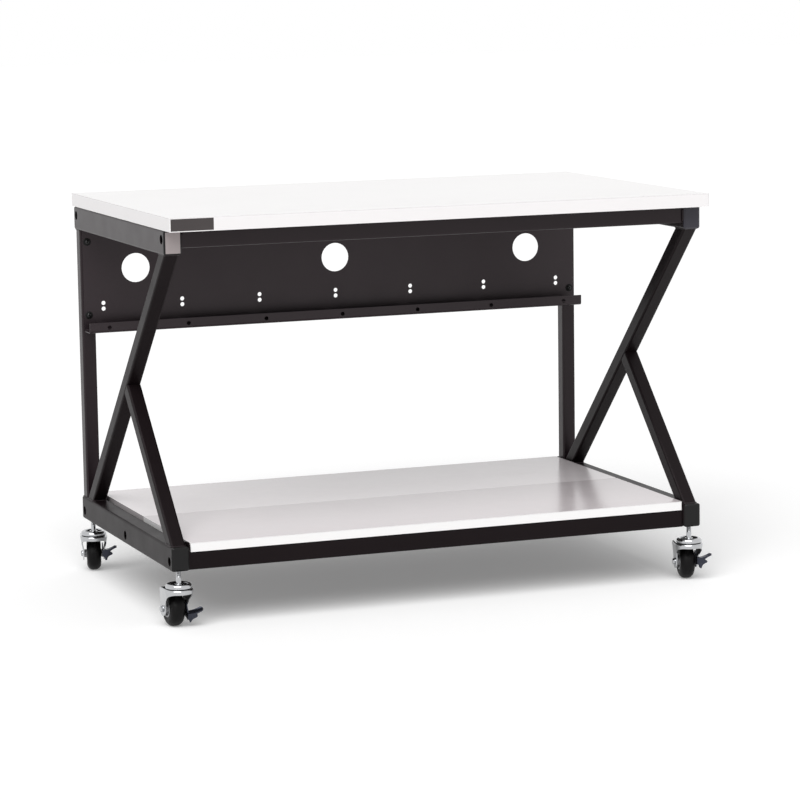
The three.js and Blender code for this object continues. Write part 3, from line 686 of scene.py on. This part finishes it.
def add_tyre(name):
    tread = []
    for step in range(TREAD_STEPS + 1):
        angle = math.pi / 2 * step / TREAD_STEPS
        tread.append((TYRE_SHOULDER + (WHEEL_RADIUS - TYRE_SHOULDER) * math.sin(angle),
                      TREAD_HALF_FLAT + (TYRE_HALF_WIDTH - TREAD_HALF_FLAT) * math.cos(angle)))
    bead = arc((TYRE_BORE + TYRE_BEAD, TYRE_HALF_WIDTH - TYRE_BEAD), TYRE_BEAD, 180, 90, BEAD_STEPS)
    half = [*bead, *TYRE_SIDE, *tread]
    profile = half + [(radius, -x) for radius, x in reversed(half)]
    verts, faces = turned(in_metres(profile), ROUND_SEGMENTS)
    piece(f"rolled_tyre_{name}", verts, faces, RUBBER, f"wheel_{name}", [f"tyre_{name}"],
          along_axle(name), sharp=40)


def add_hub(name):
    """A boss, a web and a ring in one turned profile, with ribs on both sides of the web."""
    sides = []
    for hand, reach in ((-1, HUB_REACH_LEFT), (1, HUB_REACH_RIGHT)):
        boss = arc((HUB_BOSS_RADIUS - HUB_EDGE, reach - HUB_EDGE), HUB_EDGE, 90, 0, HUB_EDGE_STEPS)
        ring = arc((HUB_RING_RADIUS + HUB_EDGE, HUB_RING_HALF - HUB_EDGE), HUB_EDGE, 180, 90, HUB_EDGE_STEPS)
        lip = arc((HUB_RADIUS - HUB_LIP, HUB_RING_HALF - HUB_LIP), HUB_LIP, 90, 0, HUB_EDGE_STEPS)
        face = [(AXLE_BORE, reach), *boss, *WEB_PROFILE, *ring, *lip]
        sides.append([(radius, hand * x) for radius, x in face])
    rim = turned(in_metres(sides[0] + sides[1][::-1]), ROUND_SEGMENTS)
    ribs = []
    for hand in (-1, 1):
        for index in range(HUB_RIBS):
            turn = Matrix.Rotation(math.tau * index / HUB_RIBS, 2)
            outline = [turn @ Vector(corner) for corner in RIB_OUTLINE]
            low, high = sorted((hand * (HUB_WEB_HALF - RIB_SINK), hand * (HUB_WEB_HALF + RIB_HEIGHT)))
            verts, faces = prism(outline, low, high)
            ribs.append((in_metres(verts), faces))
    verts, faces = joined(rim, *ribs)
    piece(f"ribbed_hub_{name}", verts, faces, HUB_PLASTIC, f"wheel_{name}", [f"hub_{name}"],
          along_axle(name), sharp=40)


def add_axle(name):
    """A bolt with a washer under its head, and a nut on the lever's side."""
    end = FORK_OUTER + NUT_THICKNESS + AXLE_PROUD
    washer_face = HEAD_SEAT + WASHER_THICKNESS
    shaft = turned(in_metres([(0, -washer_face), (AXLE_RADIUS, -washer_face),
                              (AXLE_RADIUS, end - AXLE_TIP_LENGTH), (AXLE_TIP_RADIUS, end), (0, end)]),
                   AXLE_SEGMENTS, closed=False)
    washer = turned(in_metres([(AXLE_RADIUS, -washer_face), (WASHER_RADIUS, -washer_face),
                               (WASHER_RADIUS, -HEAD_SEAT), (AXLE_RADIUS, -HEAD_SEAT)]), WASHER_SEGMENTS)
    head_verts, head_faces = hex_head(HEX_RADIUS, washer_face, HEAD_SEAT + HEAD_THICKNESS)
    head = ([(x, y, -z) for x, y, z in in_metres(head_verts)], [tuple(reversed(f)) for f in head_faces])
    verts, faces = joined(shaft, washer, head)
    piece(f"axle_{name}", verts, faces, CHROME, f"swivel_{name}", [f"axle_bolt_{name}"],
          along_axle(name), sharp=30)

    verts, faces = hex_head(HEX_RADIUS, HEAD_SEAT, HEAD_SEAT + NUT_THICKNESS)
    piece(f"nut_{name}", in_metres(verts), faces, CHROME, f"swivel_{name}",
          [f"axle_nut_{name}"], along_axle(name), sharp=30)


def bored_half(outside, bore):
    """Half of a bored plate, round its outside and back along its bore, open where the halves meet."""
    verts, faces = prism(outside + bore, LEVER_X, LEVER_X + LEVER_THICKNESS)
    meets = (len(outside) - 1, len(outside) + len(bore) - 1)
    return verts, [face for index, face in enumerate(faces) if index not in meets]


def lever_arm():
    """An eye bored for the axle, a finger up beside the tyre and an arm forwards, cut from one sheet."""
    start, end = LEVER_EYE_DEG
    eye = arc((0, 0), LEVER_EYE_RADIUS, start, end, EYE_STEPS)
    nose = [eye[-1], *LEVER_FINGER, (ARM_FRONT, ARM_TOP), (ARM_FRONT, ARM_FOOT), eye[0]]
    back = bored_half(eye, arc((0, 0), AXLE_BORE, end, start, EYE_STEPS))
    front = bored_half(nose, arc((0, 0), AXLE_BORE, start, end - 360, EYE_STEPS))
    verts, faces = joined(back, front)
    return [(x, y, z) for y, z, x in verts], faces


def pedal():
    """A long wing bent up, a lobe and a short foot bent down, with round outer corners in plan."""
    foot_x, foot_z = FOOT_TIP
    foot_back = foot_x - FOOT_WIDTH
    half = WING_THICKNESS / 2
    outline = bezier([(0, ARM_FOOT), (foot_back, ARM_FOOT), (foot_back, foot_z)], FOOT_STEPS)
    outline += bezier([(foot_x, foot_z), (foot_x, ARM_FOOT), (LOBE_REACH, LOBE_HEIGHT - half)], FOOT_STEPS)
    outline += [(LOBE_REACH + LOBE_NOSE, LOBE_HEIGHT), (LOBE_REACH, LOBE_HEIGHT + half)]
    outline += bezier([NOTCH, (LOBE_REACH, WING_TIP - 2 * WING_THICKNESS),
                       (WING_REACH, WING_TIP - WING_THICKNESS)], WING_STEPS)
    outline += bezier([(WING_REACH, WING_TIP), (NOTCH[0], ARM_TOP), (0, ARM_TOP)], WING_STEPS)
    middle = (PEDAL_BACK + PEDAL_FRONT) / 2
    half_depth = (PEDAL_BACK - PEDAL_FRONT) / 2
    rows = []
    for step in range(PEDAL_SLICES + 1):
        across = -math.cos(math.pi * step / PEDAL_SLICES) * half_depth
        into_corner = max(0, abs(across) - (half_depth - PEDAL_CORNER))
        reach = WING_REACH - PEDAL_CORNER + math.sqrt(max(0, PEDAL_CORNER ** 2 - into_corner ** 2))
        rows += [(LEVER_X + x * reach / WING_REACH, middle + across, z) for x, z in outline]
    count = len(outline)
    last = PEDAL_SLICES * count
    faces = grid_faces(PEDAL_SLICES + 1, count, wrap=True)
    faces += [tuple(reversed(range(count))), tuple(range(last, last + count))]
    return rows, faces


def add_lever(name):
    pressed = math.radians(-JOINTS[f"brake_press_{name}"]["range_deg"][0])
    turn = on_axle(name) @ Matrix.Rotation(pressed, 4, "X")
    verts, faces = joined(lever_arm(), pedal())
    lever = piece(f"winged_lever_{name}", in_metres(verts), faces, LEVER_STEEL, f"brake_{name}",
                  [f"brake_lever_{name}"], turn, sharp=40)
    soften(lever, LEVER_EDGE, angle=50)


for caster in CASTERS:
    add_stem(caster)
    add_cup(caster)
    add_fork(caster)
    add_tyre(caster)
    add_hub(caster)
    add_axle(caster)
    add_lever(caster)


# Finishes of the CAD nodes that stay: material and rounding of the edges

FINISHES = {
    "tabletop": (TOP_LAMINATE, 0.8 * MM),
    "shelf_front": (FRONT_LAMINATE, 0.6 * MM),
    "shelf_rear": (REAR_LAMINATE_PAINTED_LIGHT, 0.6 * MM),
    "back_panel": (PANEL_POWDER, 0.4 * MM),
    "top_cap_front_right": (BLUE_PLASTIC, 0.8 * MM),
}
CAP_FINISH = (BLACK_PLASTIC, 0.8 * MM)
SHADED_LOWER_FINISH = (SHADED_LOWER_POWDER, 0.9 * MM)
FRAME_FINISH = (POWDER, 0.9 * MM)


def finish_of(name):
    if name in FINISHES:
        return FINISHES[name]
    if "cap" in name:
        return CAP_FINISH
    # Lower rails and braces take the darker copy of the powder coat, as painted shade.
    if "brace" in name or name.startswith("bottom_"):
        return SHADED_LOWER_FINISH
    return FRAME_FINISH


def finish_node(name):
    node = frame["nodes"][name]
    material, rounding = finish_of(name)
    node.data.materials.clear()
    node.data.materials.append(material)
    soften(node, rounding)


for node_name in frame["nodes"]:
    if not node_name.startswith(CASTER_NODES):
        finish_node(node_name)


# Small fasteners, welds and plates

# Panel screws, as profiles of (radius, height) in millimetres
SCREW_HEIGHTS = (18.4 * INCH, 24.92 * INCH)
SCREW_WASHER = ((2, 0), (8.6, 0), (8.6, 0.9), (8, 1.3), (2, 1.3))
SCREW_DOME = ((2.2, 1.3), (5, 1.3), (4.8, 2.3), (4, 3.3), (2.9, 3.8), (2.2, 3.8))
SCREW_SOCKET = ((0, 1.7), (2.4, 1.7), (2.4, 1.3), (0, 1.3))
SCREW_SEGMENTS = 40

# Bolts of the cross rails, in millimetres
CROSS_RAILS = ("top_cross_rail_front", "top_cross_rail_rear", "bottom_cross_rail_front",
               "bottom_cross_rail_centre", "bottom_cross_rail_rear")
BOLT_WASHER = ((0, 0), (8.4, 0), (8.4, 1.4), (0, 1.4))
BOLT_SEGMENTS = 32
BOLT_SEAT = 1.4
BOLT_TOP = 6.8
BOLT_HEX_RADIUS = 7.5

# Weld beads, with ripples as (share of the radius, turn per step)
WELD_CORNER = 4 * MM
WELD_RADIUS = 1.7 * MM
WELD_PITCH = 1.1 * MM
WELD_RIPPLES = ((0.14, 2.1), (0.08, 0.37))
WELD_SIDES = 8

# Bare plates
CAP_PLATE_MARGIN = 3.2 * MM
CAP_PLATE_THICKNESS = 0.6 * MM
CAP_PLATE_EDGE = 0.25 * MM
EDGE_PLATE_LENGTH = 92 * MM
EDGE_PLATE_HEIGHT = 25 * MM
EDGE_PLATE_INSET = 1.6 * MM
EDGE_PLATE_SINK = 0.2 * MM
EDGE_PLATE_PROUD = 0.05 * MM


def add_panel_screws():
    """Button-head screws with washers that hold the panel on the rear legs."""
    face_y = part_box("back_panel")[1].y - PANEL_SHEET
    washer = turned(in_metres(SCREW_WASHER), SCREW_SEGMENTS)
    head = turned(in_metres(SCREW_DOME), SCREW_SEGMENTS)
    socket_floor = turned(in_metres(SCREW_SOCKET), HEX_SIDES, closed=False)
    verts, faces = joined(washer, head, socket_floor)
    head_start = len(washer[1])
    head_faces = range(head_start, head_start + len(head[1]))
    for side_name in SIDES:
        leg_low, leg_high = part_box(f"rear_leg_{side_name}")
        for index, height in enumerate(SCREW_HEIGHTS):
            place = Vector(((leg_low.x + leg_high.x) / 2, face_y, FRAME_BOTTOM + height))
            piece(f"panel_screw_{side_name}_{index}", verts, faces, SEAL_RUBBER, FRAME_BODY,
                  matrix=Matrix.Translation(place) @ along((0, -1, 0)), lining=BLACK_OXIDE, lined=head_faces)


def add_frame_bolts():
    """Hexagon heads inside the side rails, seen through the access holes."""
    washer = turned(BOLT_WASHER, BOLT_SEGMENTS, closed=False)
    verts, faces = joined(hex_head(BOLT_HEX_RADIUS, BOLT_SEAT, BOLT_TOP), washer)
    for rail in CROSS_RAILS:
        low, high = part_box(rail)
        for side_name, side in SIDES.items():
            rail_low, rail_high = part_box("bottom_rail_" + side_name)
            inner = rail_low.x if side > 0 else rail_high.x
            place = Vector((inner + side * RAIL_WALL, (low.y + high.y) / 2, low.z + CROSS_HEIGHT / 2))
            piece(f"bolt_{rail}_{side_name}", in_metres(verts), faces, ZINC, FRAME_BODY,
                  matrix=Matrix.Translation(place) @ along((side, 0, 0)), sharp=30)


def weld_ring(name, matrix, half_x, half_y):
    """A rippled bead round a rounded rectangle."""
    path = []
    for cx, cy, start in ((1, 1, 0), (-1, 1, 90), (-1, -1, 180), (1, -1, 270)):
        corner = (cx * (half_x - WELD_CORNER), cy * (half_y - WELD_CORNER))
        path += [Vector((x, y, 0)) for x, y in arc(corner, WELD_CORNER, start, start + 90, EDGE_STEPS)]
    fine = []
    for a, b in zip(path, path[1:] + path[:1]):
        steps = max(1, round((b - a).length / WELD_PITCH))
        fine += [a.lerp(b, step / steps) for step in range(steps)]
    verts = []
    for index, point in enumerate(fine):
        ahead = (fine[(index + 1) % len(fine)] - fine[index - 1]).normalized()
        out = Vector((ahead.y, -ahead.x, 0))
        bead = WELD_RADIUS * (1 + sum(share * math.sin(index * turn) for share, turn in WELD_RIPPLES))
        for step in range(WELD_SIDES):
            angle = math.tau * step / WELD_SIDES
            verts.append(point + out * bead * math.cos(angle) + Vector((0, 0, bead * math.sin(angle))))
    faces = grid_faces(len(fine), WELD_SIDES, wrap=True)
    last = (len(fine) - 1) * WELD_SIDES
    faces += [(last + i, last + (i + 1) % WELD_SIDES, (i + 1) % WELD_SIDES, i) for i in range(WELD_SIDES)]
    piece(name, verts, faces, POWDER, FRAME_BODY, matrix=matrix, sharp=180)


def add_welds():
    """Beads where the legs and braces stand on the lower rails and meet the upper ones."""
    half = STRUT_SIZE / 2
    half_foot = BRACE_FOOT / 2
    for side_name in SIDES:
        leg_low, leg_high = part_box(f"rear_leg_{side_name}")
        long_low, long_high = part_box(f"long_brace_{side_name}")
        short_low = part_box(f"short_brace_{side_name}")[0]
        x = (leg_low.x + leg_high.x) / 2
        leg_y = (leg_low.y + leg_high.y) / 2
        feet = {
            "leg_foot": (leg_y, LOWER_RAIL_TOP, half),
            "leg_head": (leg_y, UPPER_RAIL_BOTTOM, half),
            "long_foot": (long_high.y - half_foot, LOWER_RAIL_TOP, half_foot),
            "long_head": (long_low.y + half_foot, UPPER_RAIL_BOTTOM, half_foot),
            "short_foot": (short_low.y + half_foot, LOWER_RAIL_TOP, half_foot),
        }
        for weld, (y, z, half_y) in feet.items():
            weld_ring(f"weld_{weld}_{side_name}", Matrix.Translation((x, y, z)), half, half_y)


def front_plate(name, low, high, back, front, material):
    """A rectangular plate from one (x, z) corner to the other, between two places in y."""
    outline = [(low[0], low[1]), (high[0], low[1]), (high[0], high[1]), (low[0], high[1])]
    verts, faces = prism(outline, -back, -front)
    return piece(name, [(x, -y, z) for x, z, y in verts], faces, material, FRAME_BODY)


def add_plates():
    """A bare silver plate on a rail cap and a bare dark plate on the front edge of the top."""
    low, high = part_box("top_cap_front_left")
    plate = front_plate("cap_plate", (low.x + CAP_PLATE_MARGIN, low.z + CAP_PLATE_MARGIN),
                        (high.x - CAP_PLATE_MARGIN, high.z - CAP_PLATE_MARGIN),
                        low.y, low.y - CAP_PLATE_THICKNESS, SILVER)
    soften(plate, CAP_PLATE_EDGE)

    low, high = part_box("tabletop")
    left = low.x + EDGE_PLATE_INSET
    bottom = (low.z + high.z - EDGE_PLATE_HEIGHT) / 2
    front_plate("edge_plate", (left, bottom), (left + EDGE_PLATE_LENGTH, bottom + EDGE_PLATE_HEIGHT),
                low.y + EDGE_PLATE_SINK, low.y - EDGE_PLATE_PROUD, DARK_PLATE)


add_panel_screws()
add_frame_bolts()
add_welds()
add_plates()


# Floor, light and camera

FLOOR_HALF = 30.0
FLOOR_DROP = 0.2 * MM
FLOOR_GREY = 0.85
FLOOR_GLOW = 0.2
AMBIENT = 0.38
BACKGROUND = 1.0
KEY_TOWARDS = (-0.35, -0.57, 0.744)
KEY_STRENGTH = 2.7
KEY_ANGLE = 50


def seen_directly(nodes, links):
    """1 for rays from the camera and for mirror and glass rays, otherwise 0."""
    path = nodes.new("ShaderNodeLightPath")
    total = path.outputs["Is Camera Ray"]
    for ray in ("Is Glossy Ray", "Is Transmission Ray"):
        either = nodes.new("ShaderNodeMath")
        either.operation = "MAXIMUM"
        links.new(total, either.inputs[0])
        links.new(path.outputs[ray], either.inputs[1])
        total = either.outputs["Value"]
    return total


def add_floor():
    """A pale floor that keeps its shadow and glows a little where it is seen directly."""
    corners = [(-FLOOR_HALF, -FLOOR_HALF, 0), (FLOOR_HALF, -FLOOR_HALF, 0),
               (FLOOR_HALF, FLOOR_HALF, 0), (-FLOOR_HALF, FLOOR_HALF, 0)]
    mesh = bpy.data.meshes.new("floor")
    mesh.from_pydata(corners, [], [(0, 1, 2, 3)])
    floor = bpy.data.objects.new("floor", mesh)
    bpy.context.scene.collection.objects.link(floor)
    floor.location.z = -FLOOR_DROP
    material = bpy.data.materials.new("floor")
    material.use_nodes = True
    nodes = material.node_tree.nodes
    links = material.node_tree.links
    nodes.clear()
    diffuse = nodes.new("ShaderNodeBsdfDiffuse")
    diffuse.inputs["Color"].default_value = (FLOOR_GREY, FLOOR_GREY, FLOOR_GREY, 1)
    glow = nodes.new("ShaderNodeEmission")
    lift = map_range(nodes, links, seen_directly(nodes, links), 0, FLOOR_GLOW, (0, 1))
    links.new(lift, glow.inputs["Strength"])
    both = nodes.new("ShaderNodeAddShader")
    links.new(diffuse.outputs["BSDF"], both.inputs[0])
    links.new(glow.outputs["Emission"], both.inputs[1])
    output = nodes.new("ShaderNodeOutputMaterial")
    links.new(both.outputs["Shader"], output.inputs["Surface"])
    mesh.materials.append(material)


def add_world():
    """Soft light from all round, and a white background where it is seen directly."""
    world = bpy.data.worlds.new("studio")
    bpy.context.scene.world = world
    world.use_nodes = True
    nodes = world.node_tree.nodes
    links = world.node_tree.links
    background = nodes["Background"]
    background.inputs["Color"].default_value = (1, 1, 1, 1)
    strength = map_range(nodes, links, seen_directly(nodes, links), AMBIENT, BACKGROUND, (0, 1))
    links.new(strength, background.inputs["Strength"])


def add_key_light():
    """A wide, soft light from the front left and above."""
    light = bpy.data.lights.new("key_light", "SUN")
    light.energy = KEY_STRENGTH
    light.angle = math.radians(KEY_ANGLE)
    lamp = bpy.data.objects.new("key_light", light)
    bpy.context.scene.collection.objects.link(lamp)
    lamp.rotation_euler = Vector(KEY_TOWARDS).to_track_quat("Z", "Y").to_euler()


def add_camera():
    camera = bpy.data.cameras.new("camera")
    camera.sensor_width = SENSOR_MM
    camera.lens = FOCAL_PIXELS * SENSOR_MM / IMAGE_SIZE
    camera.clip_end = CLIP_END
    obj = bpy.data.objects.new("camera", camera)
    bpy.context.scene.collection.objects.link(obj)
    ahead = Vector((math.sin(CAMERA_YAW), math.cos(CAMERA_YAW), 0))
    right = Vector((math.cos(CAMERA_YAW), -math.sin(CAMERA_YAW), 0))
    up = Vector((0, 0, 1))
    look = math.cos(CAMERA_PITCH) * ahead - math.sin(CAMERA_PITCH) * up
    level_up = math.cos(CAMERA_PITCH) * up + math.sin(CAMERA_PITCH) * ahead
    x_axis = math.cos(CAMERA_ROLL) * right + math.sin(CAMERA_ROLL) * level_up
    y_axis = math.cos(CAMERA_ROLL) * level_up - math.sin(CAMERA_ROLL) * right
    turn = Matrix((x_axis, y_axis, -look)).transposed().to_4x4()
    obj.matrix_world = Matrix.Translation(CAMERA_PLACE) @ turn
    bpy.context.scene.camera = obj


add_floor()
add_world()
add_key_light()
add_camera()
bpy.context.scene.view_settings.view_transform = "Standard"
